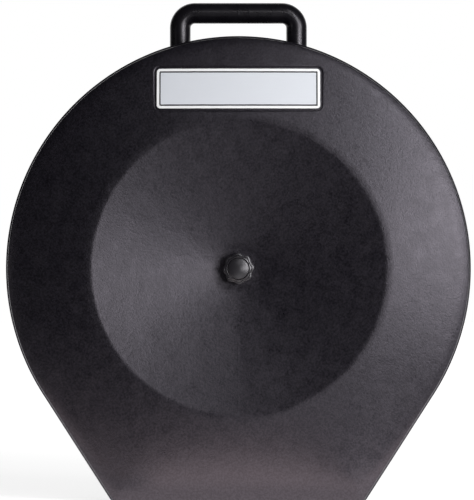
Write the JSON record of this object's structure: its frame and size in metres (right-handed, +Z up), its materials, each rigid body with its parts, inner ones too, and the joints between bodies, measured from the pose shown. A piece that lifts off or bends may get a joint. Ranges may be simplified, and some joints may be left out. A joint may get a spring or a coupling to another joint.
{
  "type": "hard cymbal case",
  "caption": "Round hard-shell cymbal case with flat foot, rigid carrying handle, lift-off front shell and lobed clamping knob on a centre rod.",
  "frame": {"origin": "middle of the flat foot, on the surface the case stands on", "axes": "+Z up to the handle, -Y towards the front face with the knob, +X to the right seen from the front"},
  "size_m": [0.5996, 0.14, 0.6449],
  "materials": {
    "shell_plastic": "black moulded polyethylene with a fine pebble grain and a satin sheen",
    "handle_plastic": "smooth satin black moulded plastic",
    "knob_plastic": "satin black moulded plastic, a little glossier than the shell",
    "black_nylon": "plain black nylon",
    "plate_silver": "silver name plate with a raised border and dark frame lines, otherwise blank",
    "adhesive_tape": "double-sided foam tape",
    "grey_foam": "dark grey closed-cell foam",
    "zinc_steel": "bright zinc-plated steel",
    "brass": "turned brass"
  },
  "bodies": {
    "base": {"rear_shell": "shell_plastic", "handle": "handle_plastic", "handle_backing_strip": "zinc_steel", "handle_screw_front_left": "zinc_steel", "handle_screw_front_right": "zinc_steel", "handle_screw_rear_left": "zinc_steel", "handle_screw_rear_right": "zinc_steel", "centre_rod": "zinc_steel", "rod_outer_washer": "zinc_steel", "rod_inner_washer": "zinc_steel", "rod_lock_nut": "zinc_steel", "rod_sleeve": "black_nylon", "rear_foam_pad": "grey_foam"},
    "lid": {"front_shell": "shell_plastic", "name_plate": "plate_silver", "plate_tape": "adhesive_tape", "lid_bush": "black_nylon", "lid_bush_retainer": "black_nylon", "front_foam_pad": "grey_foam"},
    "knob_carrier": {"knob_washer": "black_nylon"},
    "knob": {"knob_body": "knob_plastic", "knob_insert": "brass", "knob_cap": "knob_plastic"}
  },
  "joints": [
    {"name": "lid_lift", "type": "slide", "parent": "base", "child": "lid", "axis": [0, -1, 0], "range_m": [0, 0.16]},
    {"name": "knob_travel", "type": "slide", "parent": "lid", "child": "knob_carrier", "axis": [0, -1, 0], "range_m": [0, 0.0126]},
    {"name": "knob_turn", "type": "hinge", "parent": "knob_carrier", "child": "knob", "pos_m": [0, 0, 0.3], "axis": [0, -1, 0], "range_deg": [0, 3600]}
  ],
  "couplings": [
    {"joint": "knob_travel", "follows": "knob_turn", "m_per_rad": 0.00019894}
  ]
}
